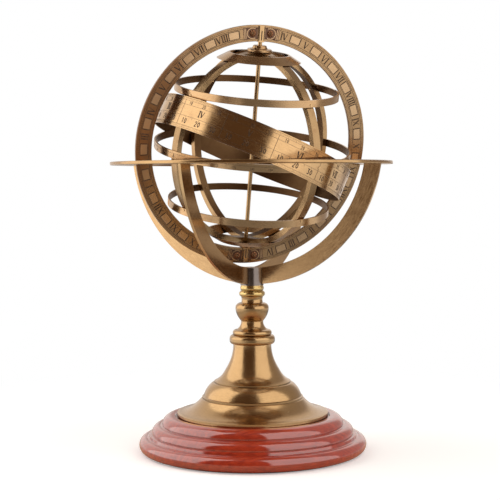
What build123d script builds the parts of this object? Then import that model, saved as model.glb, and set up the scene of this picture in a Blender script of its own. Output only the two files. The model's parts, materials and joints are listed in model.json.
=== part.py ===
from build123d import *
import math
import os

# Armillary sphere on a turned stand, in millimetres.
# Origin: bottom centre of the felt pad. +Z up, +X along the tilt pivots of the meridian ring.

# ---- Driving dimensions ----
FELT_RADIUS = 115.0
FELT_THICKNESS = 1.2

WOOD_SEAT = 37.0
WOOD_LIP = 39.6
WOOD_LIP_RADIUS = 84.0
ROD_RADIUS = 4.0
ROD_CLEARANCE = 0.15
ROD_BOTTOM = 4.5
ROD_TOP = 179.0
NUT_POCKET_RADIUS = 15.0
NUT_POCKET_TOP = 14.0
WASHER_RADIUS = 13.0
WASHER_THICKNESS = 2.0
NUT_ACROSS_FLATS = 13.0
NUT_HEIGHT = 6.5

CONE_TOP = 116.7
CONE_RIM_RADIUS = 82.0
CONE_WALL = 2.0
COLLAR_RADIUS = 24.6
COLLAR_TOP = 126.5
BALUSTER_TOP = 168.5
HUB_BOTTOM = 180.6
HUB_RADIUS = 12.6
SPIGOT_RADIUS = 9.0
SPIGOT_BOTTOM = 174.0

ARC_OUTER_RADIUS = 152.2
ARC_WIDTH = 18.0
ARC_THICKNESS = 3.0
ARC_CENTRE_Z = 334.0
ARC_ANGLES = (-48.0, 42.0)

HORIZON_BOTTOM = 310.8
HORIZON_THICKNESS = 3.6
HORIZON_OUTER_RADIUS = 152.0
HORIZON_INNER_RADIUS = 119.0
NOTCH_END = 129.6
NOTCH_WIDTH = 6.8
SCREW_CIRCLE_RADIUS = 141.4
SCREW_RADIUS = 1.0
SCREW_HEAD_RADIUS = 2.3
SCREW_HEAD_DEPTH = 1.3
SCREW_LENGTH = 11.0

LEAN = 12.9
MERIDIAN_OUTER_RADIUS = 130.0
MERIDIAN_INNER_RADIUS = 112.8
MERIDIAN_THICKNESS = 4.0
PIVOT_TO_CENTRE = 18.16
PIVOT_PIN_RADIUS = 0.8
PIVOT_PIN_INNER_END = 121.0
RUNNING_CLEARANCE = 0.06

BRACKET_WIDTH = 6.6
BRACKET_PLATE = 1.4
BRACKET_INNER_RADIUS = 112.1
BRACKET_OUTER_RADIUS = 129.4
BRACKET_RIVET_RADIUS = 1.0
BRACKET_RIVET_PLACE = 125.5

SPHERE_DROP = 1.6
SPHERE_SPIN = 19.5
OBLIQUITY = 24.5
COLURE_OUTER_RADIUS = 104.0
COLURE_THICKNESS = 6.0
COLURE_WIDTH = 9.0
BAND_THICKNESS = 1.8
EQUATOR_HEIGHT = 8.0
TROPIC_HEIGHT = 7.4
TROPIC_LOW_EDGE = 58.6
POLAR_CIRCLE_HEIGHT = 7.0
POLAR_CIRCLE_LOW_EDGE = 94.7
POLAR_CIRCLE_TAPER = 12.1
POLAR_CIRCLE_RIM = 2.8
ZODIAC_OUTER_RADIUS = 107.4
ZODIAC_THICKNESS = 1.3
ZODIAC_WIDTH = 33.0

POLAR_ROD_RADIUS = 2.2
POLAR_ROD_FLOAT = 0.4
JOURNAL_RADIUS = 1.2
JOURNAL_END = 120.0
HUB_FLANGE_RADIUS = 13.2
HUB_FLANGE_TOP = 106.4
HUB_CAP_RADIUS = 7.4
HUB_CAP_TOP = 110.3
RIVET_RADIUS = 0.8
RIVET_CLEARANCE = 0.02
HOLE_EXTRA = 2.0
RIVET_HEAD_RADIUS = 1.5
RIVET_HEAD_HEIGHT = 0.4

# ---- Planes worked out from them ----
ARC_INNER_RADIUS = ARC_OUTER_RADIUS - ARC_WIDTH
HUB_TOP = ARC_CENTRE_Z - ARC_INNER_RADIUS
ARC_BOTTOM = ARC_CENTRE_Z - ARC_OUTER_RADIUS
HORIZON_TOP = HORIZON_BOTTOM + HORIZON_THICKNESS
PIVOT_Z = HORIZON_BOTTOM + HORIZON_THICKNESS / 2
POLAR_AXIS = Vector(0, -math.sin(math.radians(LEAN)), math.cos(math.radians(LEAN)))
CENTRE = Vector(0, 0, PIVOT_Z) + POLAR_AXIS * PIVOT_TO_CENTRE
SPHERE_CENTRE = CENTRE - POLAR_AXIS * SPHERE_DROP
POLE_PLANE = Plane(origin=SPHERE_CENTRE, x_dir=(1, 0, 0), z_dir=POLAR_AXIS)
MERIDIAN_PLANE = Plane(origin=CENTRE, x_dir=(1, 0, 0), z_dir=-POLE_PLANE.y_dir)
SPIN = math.radians(SPHERE_SPIN)
SOLSTICE_DIR = POLE_PLANE.x_dir * math.cos(SPIN) + POLE_PLANE.y_dir * math.sin(SPIN)
EQUINOX_DIR = POLE_PLANE.y_dir * math.cos(SPIN) - POLE_PLANE.x_dir * math.sin(SPIN)
TILT = math.radians(OBLIQUITY)
ECLIPTIC_AXIS = POLAR_AXIS * math.cos(TILT) + SOLSTICE_DIR * math.sin(TILT)
COLURE_INNER_RADIUS = COLURE_OUTER_RADIUS - COLURE_THICKNESS
COLURE_LAP_RADIUS = COLURE_OUTER_RADIUS - COLURE_THICKNESS / 2
EQUATOR_INNER_RADIUS = math.hypot(COLURE_OUTER_RADIUS, EQUATOR_HEIGHT / 2)
TROPIC_INNER_RADIUS = math.sqrt(COLURE_OUTER_RADIUS**2 - TROPIC_LOW_EDGE**2)
POLAR_CIRCLE_INNER_RADIUS = math.sqrt(COLURE_OUTER_RADIUS**2 - POLAR_CIRCLE_LOW_EDGE**2)
TROPIC_RIVET_PLACE = TROPIC_LOW_EDGE + 2.0


def polar_plane(distance):
    """Plane square to the polar axis, at a signed distance from the sphere's centre."""
    return Plane(origin=SPHERE_CENTRE + POLAR_AXIS * distance, x_dir=SOLSTICE_DIR, z_dir=POLAR_AXIS)


def profile_plane(outward):
    """Plane through the polar axis for a turned profile: X is the radius, Y the distance outward."""
    return Plane(origin=SPHERE_CENTRE, x_dir=(1, 0, 0), z_dir=Vector(1, 0, 0).cross(outward))


def pin_plane(distance, direction, radius):
    """Plane at a pin's middle, square to a direction that leaves the polar axis."""
    origin = SPHERE_CENTRE + POLAR_AXIS * distance + direction * radius
    return Plane(origin=origin, x_dir=POLAR_AXIS, z_dir=direction)


def finish(builder, name):
    """Label a piece and write its STEP file."""
    builder.part.label = name
    export_step(builder.part, f"parts/{name}.step")


# Each rivet: distance along the polar axis, direction, radius where it starts and ends.
EQUATOR_RIVETS = []
TROPIC_RIVETS = []
equator_face = EQUATOR_INNER_RADIUS + BAND_THICKNESS
for direction in (SOLSTICE_DIR, EQUINOX_DIR, -SOLSTICE_DIR, -EQUINOX_DIR):
    on_equinox = abs(direction.dot(EQUINOX_DIR)) > 0.5
    end = ZODIAC_OUTER_RADIUS if on_equinox else equator_face
    EQUATOR_RIVETS.append((0.0, direction, COLURE_INNER_RADIUS, end))
    start = math.sqrt(COLURE_INNER_RADIUS**2 - TROPIC_RIVET_PLACE**2) - 1.0
    for side in (-1, 1):
        place = side * TROPIC_RIVET_PLACE
        TROPIC_RIVETS.append((place, direction, start, TROPIC_INNER_RADIUS + BAND_THICKNESS))

SOLSTICE_PLANES = []
for side in (-1, 1):
    ray = (ECLIPTIC_AXIS.cross(EQUINOX_DIR)) * side
    middle = (COLURE_INNER_RADIUS + ZODIAC_OUTER_RADIUS) / 2
    SOLSTICE_PLANES.append(Plane(origin=SPHERE_CENTRE + ray * middle, x_dir=EQUINOX_DIR, z_dir=ray))
SOLSTICE_LENGTH = ZODIAC_OUTER_RADIUS - COLURE_INNER_RADIUS


def drill(rivets):
    """Cut the rivet holes from the piece that is being built."""
    for place, direction, start, end in rivets:
        with Locations(pin_plane(place, direction, (start + end) / 2)):
            Cylinder(RIVET_RADIUS + RIVET_CLEARANCE, end - start + HOLE_EXTRA, mode=Mode.SUBTRACT)


def drill_solstices():
    """Cut the two rivet holes where the ecliptic band meets the solstice colure."""
    with Locations(*SOLSTICE_PLANES):
        Cylinder(RIVET_RADIUS + RIVET_CLEARANCE, SOLSTICE_LENGTH + HOLE_EXTRA, mode=Mode.SUBTRACT)


os.makedirs("parts", exist_ok=True)

# ---- Stand: felt pad, wooden base and its fastening ----
with BuildPart() as felt_pad:
    Cylinder(FELT_RADIUS, FELT_THICKNESS, align=(Align.CENTER, Align.CENTER, Align.MIN))
finish(felt_pad, "felt_pad")

with BuildPart() as wood_base:
    with BuildSketch(Plane.XZ):
        with BuildLine():
            Polyline(
                (ROD_RADIUS + ROD_CLEARANCE, WOOD_SEAT),
                (WOOD_LIP_RADIUS, WOOD_SEAT),
                (WOOD_LIP_RADIUS, WOOD_LIP - 0.6),
                (WOOD_LIP_RADIUS + 0.6, WOOD_LIP),
                (87.0, WOOD_LIP),
            )
            ThreePointArc((87.0, WOOD_LIP), (95.0, 37.2), (98.8, 31.0))
            Polyline((98.8, 31.0), (98.8, 29.8), (100.6, 29.2))
            ThreePointArc((100.6, 29.2), (107.2, 27.0), (109.8, 21.4))
            Polyline((109.8, 21.4), (109.8, 20.4), (112.4, 19.8), (113.2, 17.0), (114.8, 16.4))
            ThreePointArc((114.8, 16.4), (123.6, 8.6), (118.4, FELT_THICKNESS))
            Polyline(
                (118.4, FELT_THICKNESS),
                (NUT_POCKET_RADIUS, FELT_THICKNESS),
                (NUT_POCKET_RADIUS, NUT_POCKET_TOP),
                (ROD_RADIUS + ROD_CLEARANCE, NUT_POCKET_TOP),
                (ROD_RADIUS + ROD_CLEARANCE, WOOD_SEAT),
            )
        make_face()
    revolve(axis=Axis.Z)
finish(wood_base, "wood_base")

with BuildPart() as base_washer:
    with BuildSketch(Plane.XY.offset(NUT_POCKET_TOP - WASHER_THICKNESS)):
        Circle(WASHER_RADIUS)
        Circle(ROD_RADIUS + ROD_CLEARANCE, mode=Mode.SUBTRACT)
    extrude(amount=WASHER_THICKNESS)
finish(base_washer, "base_washer")

with BuildPart() as base_nut:
    with BuildSketch(Plane.XY.offset(NUT_POCKET_TOP - WASHER_THICKNESS - NUT_HEIGHT)):
        RegularPolygon(NUT_ACROSS_FLATS / 2, 6, major_radius=False)
        Circle(ROD_RADIUS, mode=Mode.SUBTRACT)
    extrude(amount=NUT_HEIGHT)
finish(base_nut, "base_nut")

with BuildPart() as tie_rod:
    with BuildSketch(Plane.XY.offset(ROD_BOTTOM)):
        Circle(ROD_RADIUS)
    extrude(amount=ROD_TOP - ROD_BOTTOM)
    chamfer(tie_rod.edges().filter_by(GeomType.CIRCLE), 0.6)
finish(tie_rod, "tie_rod")

# ---- Stand: the turned brass pillar ----
with BuildPart() as pedestal_cone:
    with BuildSketch(Plane.XZ):
        with BuildLine():
            Line((ROD_RADIUS + ROD_CLEARANCE, CONE_TOP), (20.6, CONE_TOP))
            Spline(
                (20.6, CONE_TOP),
                (21.4, 108.0),
                (24.2, 98.6),
                (29.9, 87.7),
                (41.6, 76.4),
                tangents=[(0, -1), (1.5, -0.7)],
            )
            Polyline((41.6, 76.4), (41.6, 75.2), (43.8, 74.4))
            ThreePointArc((43.8, 74.4), (49.8, 68.2), (53.2, 60.4))
            Polyline((53.2, 60.4), (54.8, 59.8), (54.8, 58.0), (56.0, 57.4))
            ThreePointArc((56.0, 57.4), (65.8, 48.8), (79.6, 43.6))
            Polyline((79.6, 43.6), (CONE_RIM_RADIUS, 42.8), (CONE_RIM_RADIUS, WOOD_SEAT))
            Polyline(
                (CONE_RIM_RADIUS, WOOD_SEAT),
                (CONE_RIM_RADIUS - CONE_WALL, WOOD_SEAT),
                (CONE_RIM_RADIUS - CONE_WALL, 41.2),
                (77.0, 42.0),
            )
            ThreePointArc((77.0, 42.0), (63.8, 47.2), (53.6, 56.4))
            Polyline((53.6, 56.4), (51.4, 59.0))
            ThreePointArc((51.4, 59.0), (48.4, 67.4), (42.4, 72.6))
            Line((42.4, 72.6), (39.2, 75.2))
            Spline((39.2, 75.2), (27.8, 86.8), (22.2, 98.0), (17.8, 112.0))
            Polyline(
                (17.8, 112.0),
                (ROD_RADIUS + ROD_CLEARANCE, 112.0),
                (ROD_RADIUS + ROD_CLEARANCE, CONE_TOP),
            )
        make_face()
    revolve(axis=Axis.Z)
finish(pedestal_cone, "pedestal_cone")

with BuildPart() as collar_ring:
    with BuildSketch(Plane.XY.offset(CONE_TOP)):
        Circle(COLLAR_RADIUS)
        Circle(ROD_RADIUS + ROD_CLEARANCE, mode=Mode.SUBTRACT)
    extrude(amount=COLLAR_TOP - CONE_TOP)
    rims = collar_ring.edges().filter_by(lambda e: e.geom_type == GeomType.CIRCLE and e.radius > 10)
    fillet(rims, 3.6)
finish(collar_ring, "collar_ring")

with BuildPart() as baluster:
    with BuildSketch(Plane.XZ):
        with BuildLine():
            Line((ROD_RADIUS + ROD_CLEARANCE, COLLAR_TOP), (20.0, COLLAR_TOP))
            ThreePointArc((20.0, COLLAR_TOP), (21.2, 129.4), (18.6, 132.2))
            Line((18.6, 132.2), (16.8, 132.6))
            ThreePointArc((16.8, 132.6), (13.2, 136.4), (12.0, 141.6))
            Line((12.0, 141.6), (12.6, 142.6))
            ThreePointArc((12.6, 142.6), (17.0, 150.0), (18.1, 155.4))
            ThreePointArc((18.1, 155.4), (16.8, 159.6), (13.0, 161.4))
            Line((13.0, 161.4), (11.8, 161.8))
            ThreePointArc((11.8, 161.8), (11.3, 165.0), (12.0, BALUSTER_TOP))
            Polyline(
                (12.0, BALUSTER_TOP),
                (ROD_RADIUS + ROD_CLEARANCE, BALUSTER_TOP),
                (ROD_RADIUS + ROD_CLEARANCE, COLLAR_TOP),
            )
        make_face()
    revolve(axis=Axis.Z)
finish(baluster, "baluster")

with BuildPart() as bead_ring:
    with BuildSketch(Plane.XZ):
        with BuildLine():
            Line((ROD_RADIUS + ROD_CLEARANCE, BALUSTER_TOP), (12.2, BALUSTER_TOP))
            ThreePointArc((12.2, BALUSTER_TOP), (14.1, 171.4), (12.2, 174.4))
            Polyline((12.2, 174.4), (11.8, 175.0), (12.3, 175.6))
            ThreePointArc((12.3, 175.6), (12.9, 177.6), (12.3, 179.6))
            Polyline(
                (12.3, 179.6),
                (12.1, HUB_BOTTOM),
                (SPIGOT_RADIUS, HUB_BOTTOM),
                (SPIGOT_RADIUS, SPIGOT_BOTTOM),
                (ROD_RADIUS + ROD_CLEARANCE, SPIGOT_BOTTOM),
                (ROD_RADIUS + ROD_CLEARANCE, BALUSTER_TOP),
            )
        make_face()
    revolve(axis=Axis.Z)
finish(bead_ring, "bead_ring")

with BuildPart() as cradle_hub:
    with BuildSketch(Plane.XY.offset(SPIGOT_BOTTOM)):
        Circle(SPIGOT_RADIUS)
    extrude(amount=HUB_BOTTOM - SPIGOT_BOTTOM)
    with BuildSketch(Plane.XY.offset(HUB_BOTTOM)):
        Circle(HUB_RADIUS)
    extrude(amount=HUB_TOP - HUB_BOTTOM)
    with BuildSketch(Plane.XY.offset(SPIGOT_BOTTOM)):
        Circle(ROD_RADIUS)
    extrude(amount=ROD_TOP - SPIGOT_BOTTOM, mode=Mode.SUBTRACT)
    for angle in ARC_ANGLES:
        with BuildSketch(Plane.XY.offset(ARC_BOTTOM)):
            Rectangle(HUB_RADIUS * 3, ARC_THICKNESS, rotation=angle)
        extrude(amount=HUB_RADIUS * 2, mode=Mode.SUBTRACT)
finish(cradle_hub, "cradle_hub")

# ---- Stand: the two crossed half rings, halved into each other over the hub ----
for index, angle in enumerate(ARC_ANGLES):
    heading = math.radians(angle)
    along = Vector(math.cos(heading), math.sin(heading), 0)
    arc_plane = Plane(origin=(0, 0, ARC_CENTRE_Z), x_dir=along, z_dir=along.cross(Vector(0, 0, 1)))
    lap_middle = (HUB_TOP + ARC_BOTTOM) / 2
    lap_low = lap_middle if index == 0 else ARC_BOTTOM - 1
    with BuildPart() as cradle_arc:
        with BuildSketch(arc_plane):
            Circle(ARC_OUTER_RADIUS)
            Circle(ARC_INNER_RADIUS, mode=Mode.SUBTRACT)
            with Locations((0, HORIZON_BOTTOM - ARC_CENTRE_Z)):
                Rectangle(
                    ARC_OUTER_RADIUS * 3,
                    ARC_OUTER_RADIUS * 3,
                    align=(Align.CENTER, Align.MIN),
                    mode=Mode.SUBTRACT,
                )
        extrude(amount=ARC_THICKNESS / 2, both=True)
        with BuildSketch(Plane.XY.offset(lap_low)):
            Rectangle(ARC_THICKNESS, ARC_THICKNESS * 2, rotation=angle)
        extrude(amount=ARC_WIDTH / 2 + 1, mode=Mode.SUBTRACT)
        for side in (-1, 1):
            spot = along * (side * SCREW_CIRCLE_RADIUS)
            with BuildSketch(Plane.XY.offset(HORIZON_TOP - SCREW_LENGTH)):
                with Locations((spot.X, spot.Y)):
                    Circle(SCREW_RADIUS)
            extrude(amount=SCREW_LENGTH, mode=Mode.SUBTRACT)
    finish(cradle_arc, f"cradle_arc_{index + 1}")

# ---- Stand: horizon ring, its screws and the tilt pins ----
SCREW_PLACES = []
for angle in ARC_ANGLES:
    for half_turn in (0, 180):
        heading = math.radians(angle + half_turn)
        SCREW_PLACES.append(
            (SCREW_CIRCLE_RADIUS * math.cos(heading), SCREW_CIRCLE_RADIUS * math.sin(heading))
        )

with BuildPart() as horizon_ring:
    with BuildSketch(Plane.XY.offset(HORIZON_BOTTOM)):
        Circle(HORIZON_OUTER_RADIUS)
        Circle(HORIZON_INNER_RADIUS, mode=Mode.SUBTRACT)
    extrude(amount=HORIZON_THICKNESS)
    outer_rims = horizon_ring.edges().filter_by(
        lambda e: e.geom_type == GeomType.CIRCLE and e.radius > HORIZON_INNER_RADIUS + 1
    )
    fillet(outer_rims, 0.9)
    with BuildSketch(Plane.XY.offset(HORIZON_BOTTOM)):
        Rectangle(NOTCH_END * 2, NOTCH_WIDTH)
    extrude(amount=HORIZON_THICKNESS, mode=Mode.SUBTRACT)
    with Locations(Plane(origin=(0, 0, PIVOT_Z), z_dir=(1, 0, 0))):
        Cylinder(PIVOT_PIN_RADIUS, HORIZON_OUTER_RADIUS * 3, mode=Mode.SUBTRACT)
    with Locations(*[(x, y, HORIZON_TOP) for x, y in SCREW_PLACES]):
        Cylinder(SCREW_RADIUS, HORIZON_THICKNESS * 3, mode=Mode.SUBTRACT)
        Cone(
            SCREW_RADIUS,
            SCREW_HEAD_RADIUS,
            SCREW_HEAD_DEPTH,
            align=(Align.CENTER, Align.CENTER, Align.MAX),
            mode=Mode.SUBTRACT,
        )
finish(horizon_ring, "horizon_ring")

with BuildPart() as horizon_screws:
    with Locations(*[(x, y, HORIZON_TOP) for x, y in SCREW_PLACES]):
        Cylinder(SCREW_RADIUS, SCREW_LENGTH, align=(Align.CENTER, Align.CENTER, Align.MAX))
        Cone(
            SCREW_RADIUS,
            SCREW_HEAD_RADIUS,
            SCREW_HEAD_DEPTH,
            align=(Align.CENTER, Align.CENTER, Align.MAX),
        )
        Box(
            SCREW_HEAD_RADIUS * 3,
            0.5,
            0.7,
            align=(Align.CENTER, Align.CENTER, Align.MAX),
            mode=Mode.SUBTRACT,
        )
finish(horizon_screws, "horizon_screws")

with BuildPart() as pivot_pins:
    for side in (-1, 1):
        pin_middle = side * (PIVOT_PIN_INNER_END + HORIZON_OUTER_RADIUS - 1) / 2
        with Locations(Plane(origin=(pin_middle, 0, PIVOT_Z), z_dir=(1, 0, 0))):
            Cylinder(PIVOT_PIN_RADIUS, HORIZON_OUTER_RADIUS - 1 - PIVOT_PIN_INNER_END)
finish(pivot_pins, "pivot_pins")

# ---- Meridian ring and its pole brackets ----
POLES = {"north": 1, "south": -1}

with BuildPart() as meridian_ring:
    with BuildSketch(MERIDIAN_PLANE):
        Circle(MERIDIAN_OUTER_RADIUS)
        Circle(MERIDIAN_INNER_RADIUS, mode=Mode.SUBTRACT)
    extrude(amount=MERIDIAN_THICKNESS / 2, both=True)
    fillet(meridian_ring.edges().filter_by(GeomType.CIRCLE), 0.5)
    for side in (-1, 1):
        tip = side * (PIVOT_PIN_INNER_END - 0.5)
        with BuildSketch(Plane(origin=(tip, 0, PIVOT_Z), z_dir=(side, 0, 0))):
            Circle(PIVOT_PIN_RADIUS + RUNNING_CLEARANCE)
        extrude(amount=MERIDIAN_OUTER_RADIUS - PIVOT_PIN_INNER_END + 2, mode=Mode.SUBTRACT)
    for side in POLES.values():
        with BuildSketch(Plane(origin=CENTRE, x_dir=(1, 0, 0), z_dir=POLAR_AXIS * side)):
            Circle(JOURNAL_RADIUS + RUNNING_CLEARANCE)
        extrude(amount=JOURNAL_END + 0.5, mode=Mode.SUBTRACT)
        rivet_at = CENTRE + POLAR_AXIS * (side * BRACKET_RIVET_PLACE)
        with Locations(Plane(origin=rivet_at, x_dir=(1, 0, 0), z_dir=MERIDIAN_PLANE.z_dir)):
            Cylinder(BRACKET_RIVET_RADIUS, MERIDIAN_THICKNESS * 3, mode=Mode.SUBTRACT)
finish(meridian_ring, "meridian_ring")

for pole, side in POLES.items():
    with BuildPart() as pole_bracket:
        with BuildSketch(Plane(origin=CENTRE, x_dir=(1, 0, 0), z_dir=MERIDIAN_PLANE.z_dir)):
            middle = side * (BRACKET_INNER_RADIUS + BRACKET_OUTER_RADIUS) / 2
            with Locations((0, middle)):
                Rectangle(BRACKET_WIDTH, BRACKET_OUTER_RADIUS - BRACKET_INNER_RADIUS)
        extrude(amount=MERIDIAN_THICKNESS / 2 + BRACKET_PLATE, both=True)
        with BuildSketch(MERIDIAN_PLANE):
            Circle(MERIDIAN_OUTER_RADIUS + 5)
            Circle(MERIDIAN_INNER_RADIUS, mode=Mode.SUBTRACT)
        extrude(amount=MERIDIAN_THICKNESS / 2, both=True, mode=Mode.SUBTRACT)
        with BuildSketch(Plane(origin=CENTRE, x_dir=(1, 0, 0), z_dir=POLAR_AXIS * side)):
            Circle(JOURNAL_RADIUS + RUNNING_CLEARANCE)
        extrude(amount=MERIDIAN_INNER_RADIUS, mode=Mode.SUBTRACT)
        rivet_at = CENTRE + POLAR_AXIS * (side * BRACKET_RIVET_PLACE)
        with Locations(Plane(origin=rivet_at, x_dir=(1, 0, 0), z_dir=MERIDIAN_PLANE.z_dir)):
            Cylinder(BRACKET_RIVET_RADIUS, MERIDIAN_THICKNESS * 3, mode=Mode.SUBTRACT)
    finish(pole_bracket, f"{pole}_pole_bracket")

with BuildPart() as bracket_rivets:
    for side in POLES.values():
        rivet_at = CENTRE + POLAR_AXIS * (side * BRACKET_RIVET_PLACE)
        with Locations(Plane(origin=rivet_at, x_dir=(1, 0, 0), z_dir=MERIDIAN_PLANE.z_dir)):
            Cylinder(BRACKET_RIVET_RADIUS, MERIDIAN_THICKNESS + 2 * BRACKET_PLATE)
finish(bracket_rivets, "bracket_rivets")

# ---- Sphere: polar rod and its hubs ----
with BuildPart() as polar_rod:
    with BuildSketch(polar_plane(-HUB_CAP_TOP)):
        Circle(POLAR_ROD_RADIUS)
    extrude(amount=HUB_CAP_TOP + SPHERE_DROP + BRACKET_INNER_RADIUS - POLAR_ROD_FLOAT)
    with BuildSketch(Plane(origin=CENTRE, x_dir=(1, 0, 0), z_dir=POLAR_AXIS)):
        Circle(JOURNAL_RADIUS)
    extrude(amount=JOURNAL_END, both=True)
finish(polar_rod, "polar_rod")

for pole, side in POLES.items():
    outward = POLAR_AXIS * side
    with BuildPart() as pole_hub:
        with BuildSketch(profile_plane(outward)):
            with BuildLine():
                Polyline(
                    (POLAR_ROD_RADIUS, HUB_CAP_TOP),
                    (POLAR_ROD_RADIUS, COLURE_OUTER_RADIUS),
                    (HUB_FLANGE_RADIUS, COLURE_OUTER_RADIUS),
                    (HUB_FLANGE_RADIUS, HUB_FLANGE_TOP - 0.8),
                    (HUB_FLANGE_RADIUS - 0.8, HUB_FLANGE_TOP),
                    (HUB_FLANGE_RADIUS - 2.6, HUB_FLANGE_TOP),
                )
                ThreePointArc(
                    (HUB_FLANGE_RADIUS - 2.6, HUB_FLANGE_TOP),
                    (HUB_CAP_RADIUS + 0.9, HUB_FLANGE_TOP + 0.9),
                    (HUB_CAP_RADIUS, HUB_CAP_TOP - 1.2),
                )
                ThreePointArc(
                    (HUB_CAP_RADIUS, HUB_CAP_TOP - 1.2),
                    (HUB_CAP_RADIUS - 0.6, HUB_CAP_TOP - 0.3),
                    (HUB_CAP_RADIUS - 1.6, HUB_CAP_TOP),
                )
                Line((HUB_CAP_RADIUS - 1.6, HUB_CAP_TOP), (POLAR_ROD_RADIUS, HUB_CAP_TOP))
            make_face()
        revolve(axis=Axis(SPHERE_CENTRE, outward))
    finish(pole_hub, f"{pole}_hub")

# ---- Sphere: two colures, halved into each other at the poles ----
COLURES = {
    "solstice_colure": (EQUINOX_DIR, SOLSTICE_DIR, COLURE_INNER_RADIUS - 1, COLURE_LAP_RADIUS),
    "equinox_colure": (SOLSTICE_DIR, EQUINOX_DIR, COLURE_LAP_RADIUS, COLURE_OUTER_RADIUS + 1),
}
for name, (normal, reach, lap_start, lap_end) in COLURES.items():
    with BuildPart() as colure:
        with BuildSketch(Plane(origin=SPHERE_CENTRE, x_dir=reach + POLAR_AXIS, z_dir=normal)):
            Circle(COLURE_OUTER_RADIUS)
            Circle(COLURE_INNER_RADIUS, mode=Mode.SUBTRACT)
        extrude(amount=COLURE_WIDTH / 2, both=True)
        for side in (-1, 1):
            pole_plane = Plane(origin=SPHERE_CENTRE, x_dir=reach, z_dir=POLAR_AXIS * side)
            with BuildSketch(pole_plane.offset(lap_start)):
                Rectangle(COLURE_WIDTH, COLURE_WIDTH * 2)
            extrude(amount=lap_end - lap_start, mode=Mode.SUBTRACT)
        with BuildSketch(POLE_PLANE):
            Circle(POLAR_ROD_RADIUS)
        extrude(amount=COLURE_OUTER_RADIUS * 1.1, both=True, mode=Mode.SUBTRACT)
        drill(EQUATOR_RIVETS)
        drill(TROPIC_RIVETS)
        drill_solstices()
    finish(colure, name)

# ---- Sphere: the five parallels ----
TROPIC_PLACE = TROPIC_LOW_EDGE + TROPIC_HEIGHT / 2
PARALLELS = {
    "cancer_ring": (TROPIC_PLACE, TROPIC_INNER_RADIUS, TROPIC_HEIGHT, TROPIC_RIVETS),
    "equator_ring": (0.0, EQUATOR_INNER_RADIUS, EQUATOR_HEIGHT, EQUATOR_RIVETS),
    "capricorn_ring": (-TROPIC_PLACE, TROPIC_INNER_RADIUS, TROPIC_HEIGHT, TROPIC_RIVETS),
}
for name, (place, inner_radius, height, rivets) in PARALLELS.items():
    with BuildPart() as parallel:
        with BuildSketch(polar_plane(place)):
            Circle(inner_radius + BAND_THICKNESS)
            Circle(inner_radius, mode=Mode.SUBTRACT)
        extrude(amount=height / 2, both=True)
        drill(rivets)
    finish(parallel, name)

POLAR_CIRCLES = {"arctic_ring": POLAR_AXIS, "antarctic_ring": -POLAR_AXIS}
for name, outward in POLAR_CIRCLES.items():
    low = POLAR_CIRCLE_LOW_EDGE
    high = low + POLAR_CIRCLE_HEIGHT
    wide = POLAR_CIRCLE_INNER_RADIUS
    narrow = wide - POLAR_CIRCLE_TAPER
    with BuildPart() as polar_circle:
        with BuildSketch(profile_plane(outward)):
            with BuildLine():
                Polyline(
                    (wide, low),
                    (wide + POLAR_CIRCLE_RIM, low),
                    (narrow + POLAR_CIRCLE_RIM, high),
                    (narrow, high),
                    (wide, low),
                )
            make_face()
        revolve(axis=Axis(SPHERE_CENTRE, outward))
    finish(pole_hub, f"{pole}_hub")

# ---- Sphere: two colures, halved into each other at the poles ----
COLURES = {
    "solstice_colure": (EQUINOX_DIR, SOLSTICE_DIR, COLURE_INNER_RADIUS - 1, COLURE_LAP_RADIUS),
    "equinox_colure": (SOLSTICE_DIR, EQUINOX_DIR, COLURE_LAP_RADIUS, COLURE_OUTER_RADIUS + 1),
}
for name, (normal, reach, lap_start, lap_end) in COLURES.items():
    with BuildPart() as colure:
        with BuildSketch(Plane(origin=SPHERE_CENTRE, x_dir=reach + POLAR_AXIS, z_dir=normal)):
            Circle(COLURE_OUTER_RADIUS)
            Circle(COLURE_INNER_RADIUS, mode=Mode.SUBTRACT)
        extrude(amount=COLURE_WIDTH / 2, both=True)
        for side in (-1, 1):
            pole_plane = Plane(origin=SPHERE_CENTRE, x_dir=reach, z_dir=POLAR_AXIS * side)
            with BuildSketch(pole_plane.offset(lap_start)):
                Rectangle(COLURE_WIDTH, COLURE_WIDTH * 2)
            extrude(amount=lap_end - lap_start, mode=Mode.SUBTRACT)
        with BuildSketch(POLE_PLANE):
            Circle(POLAR_ROD_RADIUS)
        extrude(amount=COLURE_OUTER_RADIUS * 1.1, both=True, mode=Mode.SUBTRACT)
        drill(EQUATOR_RIVETS)
        drill(TROPIC_RIVETS)
        drill_solstices()
    finish(colure, name)

# ---- Sphere: the five parallels ----
TROPIC_PLACE = TROPIC_LOW_EDGE + TROPIC_HEIGHT / 2
PARALLELS = {
    "cancer_ring": (TROPIC_PLACE, TROPIC_INNER_RADIUS, TROPIC_HEIGHT, TROPIC_RIVETS),
    "equator_ring": (0.0, EQUATOR_INNER_RADIUS, EQUATOR_HEIGHT, EQUATOR_RIVETS),
    "capricorn_ring": (-TROPIC_PLACE, TROPIC_INNER_RADIUS, TROPIC_HEIGHT, TROPIC_RIVETS),
}
for name, (place, inner_radius, height, rivets) in PARALLELS.items():
    with BuildPart() as parallel:
        with BuildSketch(polar_plane(place)):
            Circle(inner_radius + BAND_THICKNESS)
            Circle(inner_radius, mode=Mode.SUBTRACT)
        extrude(amount=height / 2, both=True)
        drill(rivets)
    finish(parallel, name)

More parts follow.
